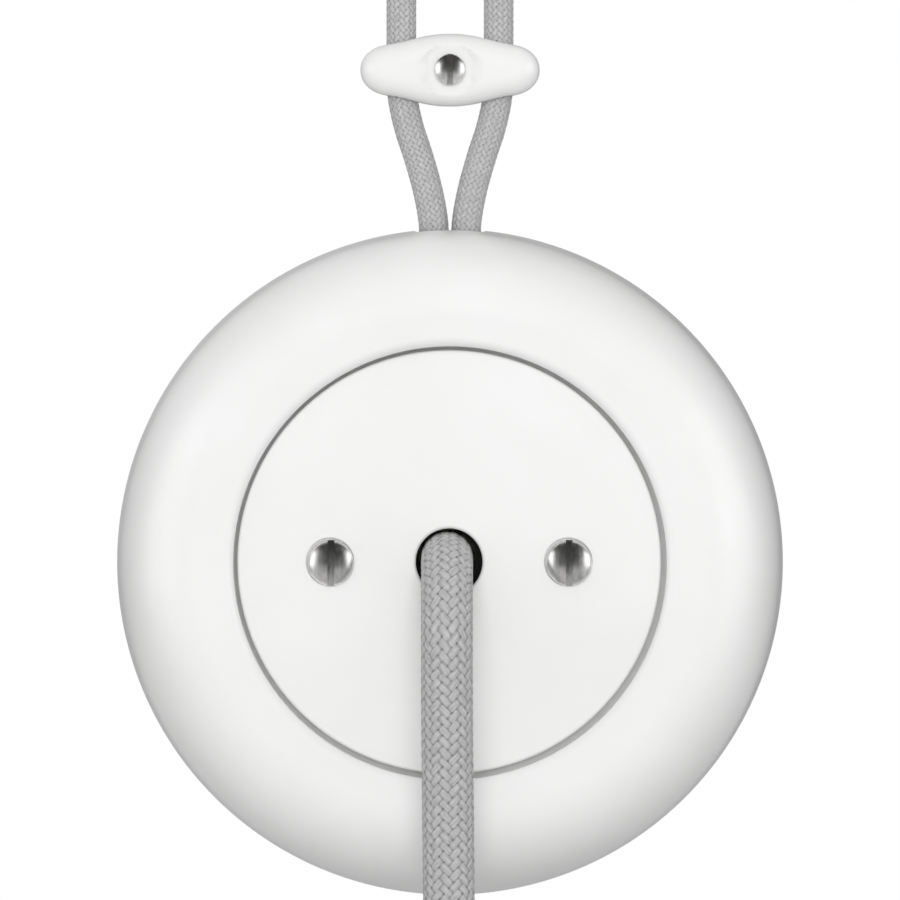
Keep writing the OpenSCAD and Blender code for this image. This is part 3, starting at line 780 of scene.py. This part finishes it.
# ---------------------------------------------------------------- screws
def slotted_head(name, x, up, seat, head_r, head_h, slot_w, shank_r, tip):
    """A slotted dome-head screw with a rounded rim and a milled slot."""
    edge = head_h * 0.33
    profile = [(0.0001, tip), (shank_r * 0.5, tip), (shank_r, tip + shank_r), (shank_r, seat)]
    profile += [(head_r - 0.12, seat), (head_r, seat + 0.12), (head_r, seat + edge)]
    profile += arc(0, seat + edge, head_r, head_h - edge, 8, 89.9, 28)
    points = lathe_points(profile, 96)
    faces = grid_faces(len(profile), 96, True).tolist()
    mesh = mesh_from(name, points, faces)
    tidy_mesh(mesh, 2e-6)
    work = bmesh.new()
    work.from_mesh(mesh)
    bmesh.ops.holes_fill(work, edges=[e for e in work.edges if e.is_boundary])
    bmesh.ops.recalc_face_normals(work, faces=work.faces)
    for v in work.verts:
        v.co += wall(x, up, 0)
    work.to_mesh(mesh)
    work.free()
    screw = link(name, mesh, NICKEL)
    reach = head_r + 1
    slot = cutter_box("slot", (x - slot_w / 2, up - reach, seat + head_h * 0.42),
                      (x + slot_w / 2, up + reach, seat + head_h + 2))
    cut(screw, slot)
    soften(screw, 0.07, 2, 30)
    return screw


def make_cover_screws():
    made = []
    for side, word in ((-1, "left"), (1, "right")):
        made.append(slotted_head("cover_screw_" + word, side * SCREW_X, 0, SCREW_SEAT, SCREW_HEAD_R,
                                 2.3, 1.0, 1.7, 12))
    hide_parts("cover_screws")
    cleat = slotted_head("cleat_screw_slotted", 0, CLEAT_UP, CLEAT_OUT - 0.4, 2.33, 1.7, 0.84, 1.5, 0.3)
    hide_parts("cleat_screw")
    for screw in made + [cleat]:
        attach(screw, "root")


make_cover_screws()


# ---------------------------------------------------------------- cleat
def eased(values, places, count):
    """A smooth curve through a few given values, sampled finely."""
    fine = np.linspace(places[0], places[-1], count)
    heights = np.interp(fine, places, values)
    for _ in range(3):
        heights = np.convolve(np.pad(heights, 12, "edge"), np.ones(25) / 25, "valid")
    return fine, heights


CLEAT_X, CLEAT_EDGE = eased([5.4, 5.36, 5.1, 4.62, 4.1, 3.78, 3.66, 3.6],
                            [0, 1.5, 3.5, 5.5, 7.5, 9.3, 11, 13.45], 400)
CLEAT_EDGE = CLEAT_EDGE * np.sqrt(np.clip(1 - (np.clip(CLEAT_X - 9, 0, None) / 4.45) ** 2.2, 0, 1))


def cleat_half_height(x):
    """Half the cleat's height at x: a broad bulge in the middle easing into the round ends."""
    return float(np.interp(abs(x), CLEAT_X, CLEAT_EDGE))


def cleat_outline(steps):
    """Points round the cleat, even in direction from its centre."""
    edge = []
    for i in range(steps):
        a = 2 * math.pi * i / steps
        low, high = 0.0, 20.0
        for _ in range(30):
            r = (low + high) / 2
            x, y = r * math.cos(a), r * math.sin(a)
            inside = abs(x) < CLEAT_HALF and abs(y) < cleat_half_height(x)
            low, high = (r, high) if inside else (low, r)
        edge.append((r * math.cos(a), r * math.sin(a)))
    return np.array(edge)


def cleat_solid(name, bottom, rise, material):
    """A cleat half: the outline's wall and a top whose height follows rise(distance in, x, y)."""
    edge = cleat_outline(320)
    steps = np.array([1.0, 0.995, 0.985, 0.97, 0.95, 0.925, 0.9, 0.87, 0.84, 0.8, 0.76, 0.72, 0.67,
                      0.62, 0.57, 0.52, 0.47, 0.42, 0.37, 0.32, 0.27, 0.22, 0.17, 0.12, 0.07, 0.03])
    dense = cleat_outline(1440)
    rows = [[(x, y, bottom + 0.0) for x, y in edge * 0.985], [(x, y, bottom + 0.15) for x, y in edge]]
    for s in steps:
        ring = edge * s
        gap = np.array([np.min(np.hypot(dense[:, 0] - x, dense[:, 1] - y)) for x, y in ring])
        gap = gap if s < 1 else gap * 0
        rows.append([(x, y, rise(g, x, y)) for (x, y), g in zip(ring, gap)])
    count = len(edge)
    points = [wall(x, CLEAT_UP + y, out) for row in rows for x, y, out in row]
    faces = grid_faces(len(rows), count, True).tolist()
    faces.append(list(reversed(range(count))))
    faces.append([(len(rows) - 1) * count + k for k in range(count)])
    mesh = mesh_from(name, points, faces)
    outward(mesh)
    smooth_all(mesh)
    return link(name, mesh, material)


def cap_rise(gap, x, y):
    """The cap's pillow top, with a shallow dish round the screw."""
    round_r = 3.3
    d = min(gap, round_r)
    out = CLEAT_OUT - round_r + math.sqrt(max(round_r ** 2 - (round_r - d) ** 2, 0))
    from_screw = math.hypot(x, y)
    t = min(max((4.6 - from_screw) / 1.0, 0), 1)
    return min(out, CLEAT_OUT - 0.55 * t * t * (3 - 2 * t))


def base_rise(gap, _x, _y):
    """The base half's flat top with a small rounded edge."""
    d = min(gap, 0.4)
    return CLEAT_SPLIT - 0.5 + math.sqrt(max(0.16 - (0.4 - d) ** 2, 0))


def make_cleat():
    for name, bottom, rise in (("cleat_cap", CLEAT_SPLIT, cap_rise), ("cleat_base", 0.0, base_rise)):
        half = cleat_solid(name + "_porcelain", bottom, rise, PORCELAIN)
        cutters = []
        for x in (-CLEAT_WIRE_X, CLEAT_WIRE_X):
            cutters.append(cutter_rod("groove", (x, CLEAT_UP - 20, WIRE_OUT), (x, CLEAT_UP + 20, WIRE_OUT),
                                      WIRE_D / 2 + GROOVE_GAP))
        cutters.append(cutter_rod("hole", (0, CLEAT_UP, -2), (0, CLEAT_UP, CLEAT_OUT + 4), 1.7))
        cut(half, *cutters)
        shade_by_angle(half, 42)
        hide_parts(name)
        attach(half, "root")


make_cleat()


# ---------------------------------------------------------------- coil springs
def coil_spring(name, node, start, end, coil_r, wire_r, turns):
    """A helical spring of round wire, its two wire ends capped, between two points in wall coordinates."""
    a, b = wall(*start), wall(*end)
    along = (b - a).normalized()
    side = along.orthogonal().normalized()
    other = along.cross(side)
    count, around = turns * 32, 12
    rows = []
    for i in range(count + 1):
        t = i / count
        turn = 2 * math.pi * turns * t
        spoke = side * math.cos(turn) + other * math.sin(turn)
        centre = a + (b - a) * t + spoke * coil_r * MM
        for k in range(around):
            p = 2 * math.pi * k / around
            rows.append(centre + (spoke * math.cos(p) + along * math.sin(p)) * wire_r * MM)
    faces = grid_faces(count + 1, around, True).tolist()
    faces.append(list(reversed(range(around))))
    faces.append([count * around + k for k in range(around)])
    mesh = mesh_from(name, rows, faces)
    outward(mesh)
    smooth_all(mesh)
    spring = link(name, mesh, STEEL)
    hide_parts(node)
    return spring


def make_springs():
    front, back = (CORD_X, CORD_UP, 24.73), (CORD_X, CORD_UP, 9.97)
    spring = coil_spring("return_spring_coil", "return_spring", front, back, 6.02, 0.43, 7)
    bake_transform(spring)
    floor, lever = (-5.7, -25.48, 12), (-5.7, -20.05, 12)
    spring = coil_spring("contact_spring_coil", "contact_spring", floor, lever, 1.1, 0.19, 6)
    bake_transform(spring)


make_springs()


# ---------------------------------------------------------------- materials of the CAD nodes that stay
def dress_nodes():
    finishes = {
        "porcelain": BISQUE, "nickel_plated_steel": NICKEL, "brass": BRASS, "grommet_rubber": RUBBER,
        "black_thermoset": BLACK, "white_nylon": NYLON, "spring_steel": STEEL,
        "silver_contact": SILVER, "copper": COPPER, "wire_braid": WIRE_YARN,
        "cord_braid": CORD_YARN, "tie_tape": TAPE}
    slots = {s["node"]: s["material_slot"] for s in frame["record"]["subparts"]}
    for name, node in frame["nodes"].items():
        node.data.materials.clear()
        node.data.materials.append(finishes[slots[name]])


dress_nodes()


# ---------------------------------------------------------------- stage
def make_floor():
    mesh = bpy.data.meshes.new("floor")
    work = bmesh.new()
    bmesh.ops.create_circle(work, cap_ends=True, segments=96, radius=1.2)
    work.to_mesh(mesh)
    work.free()
    material, nodes, links, shader = new_material("floor_paint")
    links.new(ramp(nodes, links, noise(nodes, links, 3), [(0.3, grey(0.60)), (0.7, grey(0.64))]),
              shader.inputs["Base Color"])
    shader.inputs["Roughness"].default_value = 0.9
    floor = link("floor", mesh, material)
    floor.location = (0, 0, -0.195)


def area_light(name, location, target, size, power):
    data = bpy.data.lights.new(name, "AREA")
    data.shape, data.size, data.energy = "DISK", size, power
    light = bpy.data.objects.new(name, data)
    scene.collection.objects.link(light)
    light.location = location
    light.visible_glossy = False
    light.rotation_euler = (Vector(target) - Vector(location)).to_track_quat("-Z", "Y").to_euler()
    return light


def panel(side):
    """A tall white board beside the object, which only shows as a reflection in the metal."""
    board = area_light("left_panel" if side < 0 else "right_panel", (side * 1.35, -0.45, 0.1),
                       (0, -0.03, 0), 1.6, 14)
    board.visible_glossy, board.visible_diffuse = True, False


def make_world():
    """White behind everything, and a dimmer even light on the object."""
    world = bpy.data.worlds.new("studio")
    scene.world = world
    world.use_nodes = True
    nodes, links = world.node_tree.nodes, world.node_tree.links
    nodes.clear()
    output = nodes.new("ShaderNodeOutputWorld")
    seen, lit = nodes.new("ShaderNodeBackground"), nodes.new("ShaderNodeBackground")
    seen.inputs["Color"].default_value = lit.inputs["Color"].default_value = (1, 1, 1, 1)
    seen.inputs["Strength"].default_value = 1.0
    lit.inputs["Strength"].default_value = AMBIENT
    dim = nodes.new("ShaderNodeBackground")
    dim.inputs["Strength"].default_value = REFLECTED
    path, mix = nodes.new("ShaderNodeLightPath"), nodes.new("ShaderNodeMixShader")
    glossy = nodes.new("ShaderNodeMixShader")
    links.new(path.outputs["Is Glossy Ray"], glossy.inputs[0])
    links.new(lit.outputs[0], glossy.inputs[1])
    links.new(dim.outputs[0], glossy.inputs[2])
    links.new(path.outputs["Is Camera Ray"], mix.inputs[0])
    links.new(glossy.outputs[0], mix.inputs[1])
    links.new(seen.outputs[0], mix.inputs[2])
    links.new(mix.outputs[0], output.inputs["Surface"])


AMBIENT, REFLECTED = 0.62, 0.02
make_floor()
area_light("front_soft", (0, -2.2, 0.5), (0, 0, 0), 1.6, 24)
area_light("back_soft", (-0.9, 1.6, 0.9), (0, 0, -0.05), 1.2, 10)
for side in (-1, 1):
    panel(side)
make_world()
scene.view_settings.view_transform = "Standard"
